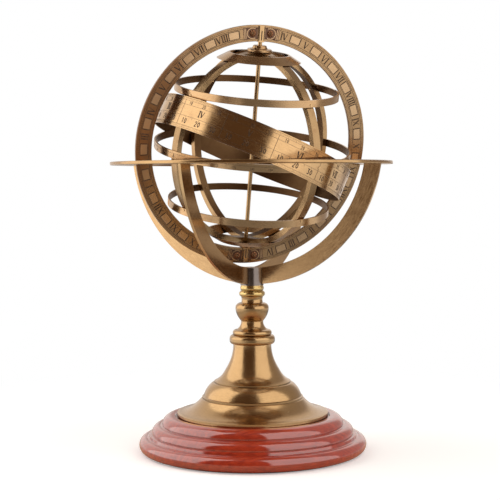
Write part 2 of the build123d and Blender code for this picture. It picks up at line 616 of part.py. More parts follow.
POLAR_CIRCLES = {"arctic_ring": POLAR_AXIS, "antarctic_ring": -POLAR_AXIS}
for name, outward in POLAR_CIRCLES.items():
    low_inner = (POLAR_CIRCLE_INNER_RADIUS, POLAR_CIRCLE_LOW_EDGE)
    with BuildPart() as polar_circle:
        with BuildSketch(profile_plane(outward)):
            with BuildLine():
                Polyline(
                    low_inner,
                    (POLAR_CIRCLE_INNER_RADIUS + BAND_THICKNESS, POLAR_CIRCLE_LOW_EDGE),
                    (
                        POLAR_CIRCLE_INNER_RADIUS + BAND_THICKNESS - POLAR_CIRCLE_TAPER,
                        POLAR_CIRCLE_LOW_EDGE + POLAR_CIRCLE_HEIGHT,
                    ),
                    (
                        POLAR_CIRCLE_INNER_RADIUS - POLAR_CIRCLE_TAPER,
                        POLAR_CIRCLE_LOW_EDGE + POLAR_CIRCLE_HEIGHT,
                    ),
                    low_inner,
                )
            make_face()
        revolve(axis=Axis(SPHERE_CENTRE, outward))
    finish(polar_circle, name)

# ---- Sphere: ecliptic band and rivets ----
with BuildPart() as zodiac_band:
    with BuildSketch(Plane(origin=SPHERE_CENTRE, x_dir=EQUINOX_DIR + SOLSTICE_DIR, z_dir=ECLIPTIC_AXIS)):
        Circle(ZODIAC_OUTER_RADIUS)
        Circle(ZODIAC_OUTER_RADIUS - ZODIAC_THICKNESS, mode=Mode.SUBTRACT)
    extrude(amount=ZODIAC_WIDTH / 2, both=True)
    drill(EQUATOR_RIVETS)
    drill_solstices()
finish(zodiac_band, "zodiac_band")

with BuildPart() as band_rivets:
    for place, direction, start, end in EQUATOR_RIVETS + TROPIC_RIVETS:
        with Locations(pin_plane(place, direction, (start + end) / 2)):
            Cylinder(RIVET_RADIUS, end - start)
        with Locations(pin_plane(place, direction, end + RIVET_HEAD_HEIGHT / 2)):
            Cylinder(RIVET_HEAD_RADIUS, RIVET_HEAD_HEIGHT)
    with Locations(*SOLSTICE_PLANES):
        Cylinder(RIVET_RADIUS, SOLSTICE_LENGTH)
finish(band_rivets, "band_rivets")
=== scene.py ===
import json
import math

import bmesh
import bpy
from mathutils import Matrix, Vector


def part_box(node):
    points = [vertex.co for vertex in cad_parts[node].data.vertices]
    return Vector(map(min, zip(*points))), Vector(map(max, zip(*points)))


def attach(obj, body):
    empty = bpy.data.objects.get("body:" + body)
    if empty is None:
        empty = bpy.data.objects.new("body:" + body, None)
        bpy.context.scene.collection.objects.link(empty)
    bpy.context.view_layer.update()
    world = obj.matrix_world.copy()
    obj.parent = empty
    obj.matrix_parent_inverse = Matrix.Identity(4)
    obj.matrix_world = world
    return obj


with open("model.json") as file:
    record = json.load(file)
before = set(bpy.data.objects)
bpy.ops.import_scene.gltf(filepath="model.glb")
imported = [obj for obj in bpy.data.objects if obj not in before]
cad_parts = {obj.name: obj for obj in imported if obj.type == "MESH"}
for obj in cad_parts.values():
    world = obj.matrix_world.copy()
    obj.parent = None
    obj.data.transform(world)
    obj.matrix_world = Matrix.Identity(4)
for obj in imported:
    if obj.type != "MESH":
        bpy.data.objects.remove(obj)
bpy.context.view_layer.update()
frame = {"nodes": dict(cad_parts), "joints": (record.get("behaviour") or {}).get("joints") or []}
NODES = frame["nodes"]
JOINTS = {joint["name"]: joint for joint in frame["joints"]}

MM = 0.001

# ---- Axes and centres ----
ORIGIN = Vector((0, 0, 0))
UP = Vector((0, 0, 1))
EAST = Vector((1, 0, 0))
BACK = Vector((0, 1, 0))
SPHERE_DROP = 1.6 * MM
SPHERE_SPIN = math.radians(19.5)
OBLIQUITY = math.radians(24.5)
CENTRE = Vector(JOINTS["sphere_turn"]["pos_m"])
POLAR = Vector(JOINTS["sphere_turn"]["axis"]).normalized()
SPHERE_CENTRE = CENTRE - POLAR * SPHERE_DROP
FACE_NORMAL = EAST.cross(POLAR)
SOLSTICE = EAST * math.cos(SPHERE_SPIN) - FACE_NORMAL * math.sin(SPHERE_SPIN)
EQUINOX = POLAR.cross(SOLSTICE)
ECLIPTIC = POLAR * math.cos(OBLIQUITY) + SOLSTICE * math.sin(OBLIQUITY)
ARC_CENTRE = Vector((0, 0, 334 * MM))

# ---- Sizes of the rings, in metres. A face is measured from the meridian ring's mid-plane. ----
MERIDIAN_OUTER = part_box("meridian_ring")[1].x
MERIDIAN_WIDTH = 17.2 * MM
MERIDIAN_MIDDLE = MERIDIAN_OUTER - MERIDIAN_WIDTH / 2
MERIDIAN_FACE = 2.0 * MM
BRACKET_FACE = 3.4 * MM
BRACKET_LENGTH = 15.0 * MM
ZODIAC_RADIUS = 107.4 * MM
COLURE_OUTER = 104.0 * MM
EQUATOR_HALF_HEIGHT = 4.0 * MM
EQUATOR_THICKNESS = 1.8 * MM
EQUATOR_RADIUS = math.hypot(COLURE_OUTER, EQUATOR_HALF_HEIGHT) + EQUATOR_THICKNESS
HORIZON_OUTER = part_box("horizon_ring")[1].x
HORIZON_WIDTH = 33.0 * MM
HORIZON_MIDDLE = HORIZON_OUTER - HORIZON_WIDTH / 2
HORIZON_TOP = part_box("horizon_ring")[1].z

# ---- Engraving: strokes stand a little proud of their surface and sink into it ----
PROUD = 0.05 * MM
SINK = 0.08 * MM
CIRCLE_STEPS = 240

# Widths of the lines.
HAIR_LINE = 0.2 * MM
FINE_LINE = 0.22 * MM
BAND_LINE = 0.25 * MM
TABLE_LINE = 0.28 * MM
DIVIDER = 0.3 * MM
HEAVY_LINE = 0.45 * MM

# Meridian ring: places are measured outwards from its middle line.
MERIDIAN_SCALE = (5.1 * MM, 6.9 * MM)
MERIDIAN_LONG_TICK = 7.8 * MM
MERIDIAN_NUMERAL = dict(v=0.0, height=7.4 * MM, thick=1.3 * MM, thin=0.6 * MM)
MERIDIAN_PLACES = 28
LEFT_START = 20.8 / 360
RIGHT_START = 12.2 / 360
# One row of numerals for each half: direction, start as a share of the turn, first hour and count.
MERIDIAN_ROWS = ((-1, LEFT_START, 8, 12), (1, RIGHT_START, 4, 13))
PLATE_FACE = MERIDIAN_FACE - 0.02 * MM
PLATE_HALF_LENGTH = 5.9 * MM
PLATE_HALF_WIDTH = 3.9 * MM
PLATE_STEPS = 3
PLATE_END_LINE = 1.1 * MM
PLATE_SIDE_LINE = 0.6 * MM

# Zodiac band and equator: places are measured along the axis from the band's middle.
ZODIAC_SCALE = (12.9 * MM, 15.4 * MM)
ZODIAC_TICK_GAPS = (0.9 * MM, 0.27 * MM)
ZODIAC_NUMERAL_ROW = (-3.2 * MM, 8.4 * MM)
ZODIAC_NUMERAL = dict(v=2.6 * MM, height=6.6 * MM, thick=1.3 * MM, thin=0.65 * MM)
ZODIAC_DEGREES = dict(v=-8.1 * MM, height=5.2 * MM, thick=0.9 * MM)
ZODIAC_SMALL_DEGREES = dict(v=10.6 * MM, height=3.2 * MM, thick=0.55 * MM)
ZODIAC_DIVIDER_END = -5.4 * MM
EQUATOR_LINE = 1.2 * MM
EQUATOR_SHORT_TICK = 2.4 * MM
EQUATOR_LONG_TICK = 3.2 * MM
EQUATOR_DEGREES = dict(v=-1.4 * MM, height=2.2 * MM, thick=0.3 * MM)
EQUATOR_DEGREES_SHIFT = 1.5 * MM

# Horizon ring: places are measured outwards from its middle line.
HORIZON_NUMERAL_ROW = (-3.6 * MM, 4.4 * MM)
HORIZON_NUMERAL = dict(v=0.4 * MM, height=5.6 * MM, thick=0.9 * MM, thin=0.4 * MM)
HORIZON_DEGREES = dict(v=8.0 * MM, height=3.6 * MM, thick=0.5 * MM)
HORIZON_SCALE = (11.6 * MM, 14.0 * MM)
HORIZON_LONG_TICK = 14.9 * MM

# Ornaments beside a pole bracket: places are measured along the meridian ring from the pole.
FLOWER_SEAT = 9.8 * MM
FLOWER_RADIUS = 4.0 * MM
FLOWER_HEIGHT = 0.75 * MM
FLOWER_DOME = 0.75 * math.pi
FLOWER_TAPER = 0.86
FLOWER_RINGS = 7
FLOWER_SIDES = 64
PETALS = 8
PETAL_REACH = 0.13
PETAL_RELIEF = 0.25
EYE_RADIUS = 1.3 * MM
EYE_LIFT = 0.5 * MM
GROUND_START = 4.4 * MM
GROUND_PITCH = 0.5 * MM
GROUND_STROKES = 32
GROUND_HALF_WIDTH = 6.2 * MM
GROUND_LINE = 0.52 * MM
SCROLL_LIFT = 0.12 * MM
SCROLL_REACH_ALONG = 6.0 * MM
SCROLL_REACH_ACROSS = 5.5 * MM
SCROLL_END = math.radians(112)
SCROLL_STEPS = 16
SCROLL_LINE = 0.75 * MM
SCROLL_DOT = 1.2 * MM
BAR_PLACES = (17.4 * MM, 19.0 * MM)
BAR_HALF_LENGTH = 5.4 * MM
BAR_LINE = 0.7 * MM
GROOVE_STEPS = 6
MIDDLE_GROOVE_END = 0.35 * BRACKET_LENGTH / 2
MIDDLE_GROOVE_LINE = 1.2 * MM
# The two dark side grooves on each bracket are painted shadow along its edges.
SIDE_SHADOW_GROOVE_PLACE = 2.8 * MM
SIDE_SHADOW_GROOVE_LINE = 0.9 * MM

# ---- Studio, in metres and degrees, with the lens in millimetres ----
CAMERA_DISTANCE = 1.403
CAMERA_HEIGHT = 0.2946
CAMERA_AZIMUTH = -20.0
CAMERA_PITCH = 3.1
CAMERA_YAW = 0.08
CAMERA_ROLL = -0.3
CAMERA_LENS = 93.34

# Each soft panel: where it starts and ends round the object (0 is the camera, positive to its right),
# how soft its edges are, the rises between which its top fades out, and its strength.
# A rise is the sine of the angle above the horizon. The feet of all panels fade in over PANEL_FOOT.
PANELS = [
    (-176.0, -128.0, 9.0, (0.72, 0.92), 0.9),
    (-128.0, -56.0, 4.0, (0.97, 1.0), 1.9),
    (18.0, 95.0, 2.5, (0.97, 1.0), 1.6),
    (95.0, 155.0, 6.0, (0.8, 1.0), 0.35),
    (155.0, 184.0, 6.0, (0.72, 0.92), 0.9),
]
PANEL_FOOT = (-0.5, -0.3)
SHADE = 0.13
OVERHEAD = 0.1
OVERHEAD_RISE = (0.75, 1.0)
FLOOR_DROP = 0.2 * MM
FLOOR_RADIUS = 1.3
FLOOR_LIFT = 0.3
FLOOR_DIM = 0.34
FLOOR_BRIGHT = 1.15
FLOOR_FADE = (0.13, 0.6)

# Distances from the object, across the view, between which the floor changes:
# on either side, to the right, and to the left, which is negative.
FLOOR_WARM_ASIDE = (0.1, 0.25)
FLOOR_RIGHT_ASIDE = (0.34, 0.85)
FLOOR_LEFT_ASIDE = (-0.25, -0.5)


def colour(red, green, blue):
    return (red, green, blue, 1.0)


def scaled(tint, factor, lift=0.0):
    """A colour made darker or lighter, with no channel above 1."""
    return colour(*[min(1.0, channel * factor + lift) for channel in tint[:3]])


# ---- Colours ----
BRASS = colour(0.42, 0.265, 0.13)
BRASS_STAIN = colour(0.22, 0.105, 0.045)
PALE_BRASS = colour(0.46, 0.292, 0.138)
# Darker brass for the colures: painted shade for how they face the light.
COLURE_SHADED_BRASS = colour(0.29, 0.185, 0.085)
MERIDIAN_BRASS = colour(0.37, 0.235, 0.12)
PLATE_BRASS = colour(0.43, 0.28, 0.15)
FLOWER_BRASS = colour(0.20, 0.09, 0.045)
GROUND_BRASS = colour(0.10, 0.05, 0.03)
GOLD = colour(0.64, 0.46, 0.19)
BLACKENED = colour(0.12, 0.10, 0.09)
STEEL = colour(0.42, 0.42, 0.43)
WOOD_LIGHT = colour(0.46, 0.038, 0.009)
WOOD_DARK = colour(0.28, 0.016, 0.005)
WOOD_PORES = colour(0.12, 0.010, 0.006)
# Near black painted shade for the wood's corners and grooves.
WOOD_PAINTED_SHADE = colour(0.05, 0.006, 0.004)
FELT_DARK = colour(0.012, 0.035, 0.018)
FELT_LIGHT = colour(0.045, 0.10, 0.055)
WAX = colour(0.035, 0.018, 0.010)
WORN_WAX = colour(0.13, 0.075, 0.040)
WHITE = colour(1, 1, 1)
PANEL_WHITE = colour(1.0, 0.985, 0.96)
SHADE_COLOUR = colour(1.0, 0.60, 0.35)
FLOOR_PAPER = colour(0.9, 0.9, 0.895)
FLOOR_REFLECTED = colour(0.72, 0.54, 0.38)

# The meridian ring is coloured browner towards one side, from a distance off its centre outwards.
BROWN_SIDE = (POLAR * 0.3 - EAST).normalized()
BROWN_FADE = (80 * MM, 114 * MM)


# ---- Shader helpers ----
class Nodes:
    """Small wrapper that adds nodes to a tree and wires them by value or socket."""

    def __init__(self, tree):
        self.tree = tree
        tree.nodes.clear()

    def add(self, kind, inputs=None, **settings):
        node = self.tree.nodes.new(kind)
        for key, value in settings.items():
            setattr(node, key, value)
        for key, value in (inputs or {}).items():
            self.set(node.inputs[key], value)
        return node

    def set(self, socket, value):
        if isinstance(value, bpy.types.NodeSocket):
            self.tree.links.new(value, socket)
        else:
            socket.default_value = value

    def place(self):
        return self.add("ShaderNodeTexCoord").outputs["Object"]

    def math(self, operation, a, b=0.0, clamp=False):
        node = self.add("ShaderNodeMath", {0: a, 1: b}, operation=operation, use_clamp=clamp)
        return node.outputs[0]

    def subtract(self, a, b):
        return self.add("ShaderNodeVectorMath", {0: a, 1: b}, operation="SUBTRACT").outputs[0]

    def dot(self, a, b):
        node = self.add("ShaderNodeVectorMath", {0: a, 1: b}, operation="DOT_PRODUCT")
        return node.outputs["Value"]

    def stretched(self, vector, scale):
        return self.add("ShaderNodeMapping", {"Vector": vector, "Scale": scale}).outputs[0]

    def range(self, value, low, high, to_low=0.0, to_high=1.0):
        inputs = {"Value": value, "From Min": low, "From Max": high, "To Min": to_low, "To Max": to_high}
        node = self.add("ShaderNodeMapRange", inputs, interpolation_type="SMOOTHSTEP")
        return node.outputs["Result"]

    def noise(self, vector, scale, detail=4.0, roughness=0.55, distortion=0.0):
        inputs = {
            "Vector": vector,
            "Scale": scale,
            "Detail": detail,
            "Roughness": roughness,
            "Distortion": distortion,
        }
        return self.add("ShaderNodeTexNoise", inputs).outputs["Fac"]

    def mix(self, factor, a, b):
        node = self.add("ShaderNodeMix", data_type="RGBA")
        self.set(node.inputs[0], factor)
        self.set(node.inputs[6], a)
        self.set(node.inputs[7], b)
        return node.outputs[2]

    def bump(self, height, strength, distance, normal=None):
        inputs = {"Height": height, "Strength": strength, "Distance": distance}
        if normal is not None:
            inputs["Normal"] = normal
        return self.add("ShaderNodeBump", inputs).outputs["Normal"]

    def openness(self, distance):
        """1 in the open, lower in corners of the same piece."""
        settings = {"samples": 6, "only_local": True}
        return self.add("ShaderNodeAmbientOcclusion", {"Distance": distance}, **settings).outputs["AO"]

    def output(self, shader, kind="ShaderNodeOutputMaterial"):
        self.set(self.add(kind).inputs[0], shader.outputs[0])

    def surface(self, inputs):
        self.output(self.add("ShaderNodeBsdfPrincipled", inputs))


def new_material(name):
    material = bpy.data.materials.new(name)
    material.use_nodes = True
    return material, Nodes(material.node_tree)


# ---- Materials ----
def ring_coordinates(nodes, offset, axis):
    """A point's distance from an axis, height along it, turn about it, and how far it faces outwards."""
    side = axis.orthogonal().normalized()
    other_side = axis.cross(side)
    x = nodes.dot(offset, side)
    y = nodes.dot(offset, other_side)
    radius = nodes.math("SQRT", nodes.math("ADD", nodes.math("MULTIPLY", x, x), nodes.math("MULTIPLY", y, y)))
    normal = nodes.add("ShaderNodeTexCoord").outputs["Normal"]
    along_x = nodes.math("MULTIPLY", nodes.dot(normal, side), x)
    along_y = nodes.math("MULTIPLY", nodes.dot(normal, other_side), y)
    outward = nodes.math("DIVIDE", nodes.math("ADD", along_x, along_y), radius)
    return radius, nodes.dot(offset, axis), nodes.math("ARCTAN2", y, x), outward


def brass(name, base, centre, axis, rough=0.2, patina=1.0, inner_shade=0.0, patch=None):
    """Aged brass, brushed or turned about an axis, with brown patina, stains and worn edges.

    The inner shade amount says how far painted shade darkens the faces that look towards the axis, and how
    much duller they are made.
    patch is a direction from the centre in which a ring is coloured browner.
    """
    material, nodes = new_material(name)
    place = nodes.place()
    offset = nodes.subtract(place, centre)
    radius, height, turn, outward = ring_coordinates(nodes, offset, axis)

    # The streaks hardly change with the turn, so they run round the axis.
    slow_turn = nodes.math("MULTIPLY", turn, 0.012)
    streak_place = nodes.add("ShaderNodeCombineXYZ", {0: slow_turn, 1: radius, 2: height}).outputs[0]
    streaks = nodes.noise(streak_place, scale=1400.0, detail=3.0, roughness=0.6)
    clouds = nodes.noise(place, scale=22.0, detail=5.0, roughness=0.6, distortion=0.4)
    blotches = nodes.noise(place, scale=95.0, detail=4.0, roughness=0.65, distortion=0.8)
    specks = nodes.noise(place, scale=900.0, detail=2.0, roughness=0.5)

    cloud_stain = nodes.math("MULTIPLY", nodes.range(clouds, 0.38, 0.72), 0.45)
    blotch_stain = nodes.math("MULTIPLY", nodes.range(blotches, 0.5, 0.74), 0.4)
    stained = nodes.math("MULTIPLY", nodes.math("ADD", cloud_stain, blotch_stain), patina, clamp=True)
    if patch:
        brown = nodes.range(nodes.dot(offset, patch), *BROWN_FADE)
        stained = nodes.math("MAXIMUM", stained, brown)
    recessed = nodes.range(nodes.openness(3.0 * MM), 0.92, 0.45, to_high=0.75)
    # Painted shade: faces that look towards the axis are darkened and made duller.
    inner_shade_mask = nodes.range(outward, -0.35, -0.75, to_high=inner_shade)
    pointed = nodes.range(nodes.add("ShaderNodeNewGeometry").outputs["Pointiness"], 0.52, 0.62)
    worn = nodes.math("SUBTRACT", 0.35, nodes.math("MULTIPLY", inner_shade_mask, 0.5), clamp=True)

    dark = scaled(BRASS_STAIN, 0.25)
    body = nodes.mix(stained, base, BRASS_STAIN)
    body = nodes.mix(nodes.range(streaks, 0.35, 0.65, to_high=0.22), body, scaled(base, 0.62))
    body = nodes.mix(nodes.range(specks, 0.68, 0.78, to_high=min(1.0, 0.5 * patina)), body, dark)
    body = nodes.mix(recessed, body, dark)
    # Painted shade darkens the faces that look towards the axis.
    body = nodes.mix(inner_shade_mask, body, scaled(BRASS_STAIN, 0.45))
    body = nodes.mix(nodes.math("MULTIPLY", pointed, worn), body, scaled(base, 1.4, lift=0.04))

    roughness = nodes.math("ADD", nodes.math("MULTIPLY", stained, 0.14), rough)
    roughness = nodes.math("ADD", roughness, nodes.range(streaks, 0.3, 0.7, -0.04, 0.06))
    roughness = nodes.math("ADD", roughness, nodes.math("MULTIPLY", inner_shade_mask, 0.22))
    normal = nodes.bump(streaks, strength=0.10, distance=0.12 * MM)
    normal = nodes.bump(blotches, strength=0.10 * patina, distance=0.4 * MM, normal=normal)
    nodes.surface({"Base Color": body, "Roughness": roughness, "Normal": normal, "Metallic": 1.0})
    return material


def red_lacquer():
    """Red-brown stained wood with fine grain under a clear gloss lacquer."""
    material, nodes = new_material("red_lacquered_wood")
    place = nodes.place()
    grain_place = nodes.stretched(place, (6.0, 60.0, 60.0))
    pore_place = nodes.stretched(place, (40.0, 900.0, 900.0))
    grain = nodes.noise(grain_place, scale=4.0, detail=6.0, roughness=0.62, distortion=0.5)
    pores = nodes.noise(pore_place, scale=1.0, detail=3.0)
    # Painted shade: corners and grooves of the wood darken towards near black.
    recessed = nodes.range(nodes.openness(5.0 * MM), 0.9, 0.4, to_high=0.7)
    body = nodes.mix(nodes.range(grain, 0.3, 0.7), WOOD_LIGHT, WOOD_DARK)
    body = nodes.mix(nodes.range(pores, 0.6, 0.75, to_high=0.35), body, WOOD_PORES)
    body = nodes.mix(recessed, body, WOOD_PAINTED_SHADE)
    lacquer_waves = nodes.noise(place, scale=45.0, detail=2.0)
    nodes.surface(
        {
            "Base Color": body,
            "Roughness": 0.38,
            "Specular IOR Level": 0.15,
            "Normal": nodes.bump(grain, strength=0.06, distance=0.25 * MM),
            "Coat Weight": 1.0,
            "Coat Roughness": 0.06,
            "Coat IOR": 1.9,
            "Coat Normal": nodes.bump(lacquer_waves, strength=0.05, distance=0.6 * MM),
        }
    )
    return material


def felt():
    """Dark green felt with a fibrous nap."""
    material, nodes = new_material("felt")
    fibres = nodes.noise(nodes.place(), scale=2200.0, detail=4.0, roughness=0.7, distortion=1.0)
    nodes.surface(
        {
            "Base Color": nodes.mix(fibres, FELT_DARK, FELT_LIGHT),
            "Roughness": 0.95,
            "Sheen Weight": 0.5,
            "Normal": nodes.bump(fibres, strength=0.6, distance=0.3 * MM),
        }
    )
    return material


def plain_metal(name, base, rough):
    """Machined steel or blackened bronze with smudges and fine scratches."""
    material, nodes = new_material(name)
    place = nodes.place()
    smudges = nodes.noise(place, scale=120.0, detail=4.0, roughness=0.6)
    scratches = nodes.noise(nodes.stretched(place, (1.0, 1.0, 12.0)), scale=500.0, detail=3.0)
    nodes.surface(
        {
            "Base Color": nodes.mix(smudges, base, scaled(base, 1.9, lift=0.01)),
            "Roughness": nodes.math("ADD", nodes.math("MULTIPLY", smudges, 0.1), rough),
            "Metallic": 1.0,
            "Normal": nodes.bump(scratches, strength=0.08, distance=0.1 * MM),
        }
    )
    return material


def engraving_fill():
    """The black wax that fills the engraved marks, uneven and dull."""
    material, nodes = new_material("engraving_fill")
    wear = nodes.noise(nodes.place(), scale=260.0, detail=4.0, roughness=0.7)
    nodes.surface(
        {
            "Base Color": nodes.mix(nodes.range(wear, 0.35, 0.7), WAX, WORN_WAX),
            "Roughness": 0.6,
            "Metallic": 0.35,
            "Normal": nodes.bump(wear, strength=0.3, distance=0.1 * MM),
        }
    )
    return material


def dress(material, *nodes):
    """Give CAD nodes their material."""
    for node in nodes:
        piece = NODES[node]
        piece.data.materials.clear()
        piece.data.materials.append(material)


def dress_all():
    """Make the materials of the CAD nodes and put them on."""
    turned = brass("turned_brass", PALE_BRASS, ORIGIN, UP, patina=0.25)
    dress(turned, "pedestal_cone", "collar_ring", "baluster")
    dress(brass("bright_bead", GOLD, ORIGIN, UP, patina=0.4), "bead_ring")
    dress(plain_metal("blackened_hub", BLACKENED, rough=0.16), "cradle_hub")
    dress(red_lacquer(), "wood_base")
    dress(felt(), "felt_pad")
    steel = plain_metal("zinc_steel", STEEL, rough=0.35)
    dress(steel, "base_washer", "base_nut", "tie_rod", "pivot_pins")
    # The first arc has its right end in front, the second behind.
    for index, node in enumerate(("cradle_arc_1", "cradle_arc_2")):
        low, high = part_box(node)
        along = Vector((high.x, low.y if index == 0 else high.y, 0)).normalized()
        arc_name = f"arc_brass_{index + 1}"
        dress(brass(arc_name, PALE_BRASS, ARC_CENTRE, along.cross(UP), rough=0.17, patina=0.5), node)
    dress(brass("horizon_brass", PALE_BRASS, ORIGIN, UP, patina=0.7), "horizon_ring")

    # The meridian ring gets heavier patina, painted shade on its faces towards the axis, and a browner side.
    patina_and_shade = {"patina": 1.3, "inner_shade": 0.3, "patch": BROWN_SIDE}
    dress(brass("meridian_brass", MERIDIAN_BRASS, CENTRE, FACE_NORMAL, **patina_and_shade), "meridian_ring")
    strap = brass("bracket_brass", PALE_BRASS, CENTRE, FACE_NORMAL, patina=0.7)
    dress(strap, "north_pole_bracket", "south_pole_bracket")

    # The parallels, colures and zodiac get painted shade on their faces towards the axis.
    parallel = brass("parallel_brass", BRASS, SPHERE_CENTRE, POLAR, rough=0.18, inner_shade=0.88)
    dress(parallel, "arctic_ring", "cancer_ring", "equator_ring", "capricorn_ring", "antarctic_ring")
    # The colures get the darker brass, which is painted shade, and heavier patina.
    for node, axis in (("solstice_colure", EQUINOX), ("equinox_colure", SOLSTICE)):
        dress(brass(f"{node}_brass", COLURE_SHADED_BRASS, SPHERE_CENTRE, axis, patina=1.4, inner_shade=0.7), node)
    zodiac = brass("zodiac_brass", PALE_BRASS, SPHERE_CENTRE, ECLIPTIC, rough=0.15, inner_shade=0.8)
    dress(zodiac, "zodiac_band")
    hub = brass("pole_hub_brass", BRASS, SPHERE_CENTRE, POLAR, rough=0.22, patina=1.2)
    dress(hub, "north_hub", "south_hub")
    bright = brass("rod_brass", PALE_BRASS, SPHERE_CENTRE, POLAR, rough=0.24, patina=0.5)
    dress(bright, "polar_rod", "band_rivets", "bracket_rivets", "horizon_screws")


# ---- Surfaces to engrave ----
def on_plane(centre, right, up, normal, face, reference):
    """Surface of a flat ring: u runs clockwise along the reference radius, v outwards, h off the face."""

    def place(u, v, h):
        angle = u / reference
        ray = right * math.sin(angle) + up * math.cos(angle)
        return centre + ray * (reference + v) + normal * (face + h)

    return place


def on_meridian(side, face, pole=1):
    """Front (1) or back (-1) of the meridian ring, with u counted from the north (1) or south (-1) pole."""
    return on_plane(CENTRE, EAST * side, POLAR * pole, FACE_NORMAL * side, face, MERIDIAN_MIDDLE)


def on_band(centre, start, axis, radius):
    """Outer surface of a band: u runs round it, v along its axis, h outwards."""
    side = axis.cross(start)

    def place(u, v, h):
        angle = u / radius
        ray = start * math.cos(angle) + side * math.sin(angle)
        return centre + ray * (radius + h) + axis * v

    return place


# ---- Meshes ----
def join_rows(mesh, near, far):
    """Faces between two closed rows of vertices."""
    for i in range(len(near)):
        j = (i + 1) % len(near)
        mesh.faces.new((near[i], near[j], far[j], far[i]))


def skin(mesh, rows):
    """Join each closed row to the next and cap both ends."""
    for near, far in zip(rows, rows[1:]):
        join_rows(mesh, near, far)
    mesh.faces.new(rows[0][::-1])
    mesh.faces.new(rows[-1])


def add_piece(name, mesh, body, material):
    """Turn a mesh into a piece that rides on a body."""
    bmesh.ops.recalc_face_normals(mesh, faces=mesh.faces)
    data = bpy.data.meshes.new(name)
    mesh.to_mesh(data)
    mesh.free()
    data.materials.append(material)
    piece = bpy.data.objects.new(name, data)
    bpy.context.scene.collection.objects.link(piece)
    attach(piece, body)


class Engraving:
    """Collects strokes on one surface and turns them into one piece."""

    def __init__(self, surface):
        self.surface = surface
        self.mesh = bmesh.new()

    def section(self, middle, across):
        """The four corners of a stroke where it passes a point."""
        corners = []
        for side, lift in ((1, -SINK), (1, PROUD), (-1, PROUD), (-1, -SINK)):
            corner = middle + across * side
            corners.append(self.mesh.verts.new(self.surface(corner.x, corner.y, lift)))
        return corners

    def stroke(self, start, end, width, steps=1):
        a, b = Vector(start), Vector(end)
        across = (b - a).normalized().orthogonal() * (width / 2)
        skin(self.mesh, [self.section(a.lerp(b, step / steps), across) for step in range(steps + 1)])

    def path(self, points, width):
        for a, b in zip(points, points[1:]):
            self.stroke(a, b, width)

    def circle(self, v, width, circumference):
        across = Vector((0, width / 2))
        rows = []
        for step in range(CIRCLE_STEPS):
            rows.append(self.section(Vector((circumference * step / CIRCLE_STEPS, v)), across))
        for near, far in zip(rows, rows[1:] + rows[:1]):
            join_rows(self.mesh, near, far)

    def finish(self, name, body, material):
        add_piece(name, self.mesh, body, material)


# ---- Letters and digits, sized for a height of 1 ----
ROMAN = "I II III IV V VI VII VIII IX X XI XII".split()
ROMAN_WIDTH = {"I": 0.34, "V": 0.78, "X": 0.78}
ROMAN_MARGIN = 0.12
DIGIT_PITCH = 0.72

# Each digit is an open line in a box 0.6 wide.
DIGITS = {
    "0": [(0.1, 0.3), (0.1, 0.7), (0.3, 1), (0.5, 0.7), (0.5, 0.3), (0.3, 0), (0.1, 0.3)],
    "1": [(0.15, 0.8), (0.3, 1), (0.3, 0)],
    "2": [(0.08, 0.75), (0.2, 0.97), (0.42, 0.97), (0.5, 0.7), (0.08, 0), (0.54, 0)],
    "3": [(0.08, 1), (0.5, 1), (0.27, 0.6), (0.5, 0.4), (0.42, 0.06), (0.08, 0.06)],
    "4": [(0.42, 0), (0.42, 1), (0.04, 0.32), (0.56, 0.32)],
    "5": [(0.5, 1), (0.12, 1), (0.1, 0.58), (0.42, 0.58), (0.5, 0.3), (0.35, 0), (0.06, 0.06)],
    "6": [(0.46, 0.95), (0.15, 0.6), (0.1, 0.2), (0.3, 0), (0.5, 0.2), (0.45, 0.5), (0.13, 0.45)],
    "7": [(0.06, 1), (0.54, 1), (0.22, 0)],
    "8": [
        (0.3, 0.54), (0.12, 0.76), (0.3, 1), (0.48, 0.76), (0.3, 0.54),
        (0.1, 0.26), (0.3, 0), (0.5, 0.26), (0.3, 0.54),
    ],
    "9": [(0.47, 0.55), (0.15, 0.5), (0.1, 0.8), (0.3, 1), (0.5, 0.8), (0.45, 0.4), (0.14, 0.05)],
}


def roman_numeral(engraving, value, u, v, height, thick, thin):
    """A Roman numeral, its I with serifs, centred at u, v."""
    text = ROMAN[value - 1]
    x = u - sum(ROMAN_WIDTH[letter] for letter in text) * height / 2
    low, high = v - height / 2, v + height / 2
    for letter in text:
        width = ROMAN_WIDTH[letter] * height
        left, middle, right = x + width * ROMAN_MARGIN, x + width / 2, x + width * (1 - ROMAN_MARGIN)
        if letter == "I":
            engraving.stroke((middle, low), (middle, high), thick)
            for level in (low, high):
                engraving.stroke((middle - thick, level), (middle + thick, level), thin)
        elif letter == "V":
            engraving.stroke((left, high), (middle, low), thick)
            engraving.stroke((right, high), (middle, low), thin)
        else:
            engraving.stroke((left, high), (right, low), thick)
            engraving.stroke((right, high), (left, low), thin)
        x += width


def number(engraving, value, u, v, height, thick):
    """An Arabic number in open lines, centred at u, v."""
    text = str(value)
    step = DIGIT_PITCH * height
    x = u - step * len(text) / 2
    for digit in text:
        engraving.path([(x + px * height, v + (py - 0.5) * height) for px, py in DIGITS[digit]], thick)
        x += step


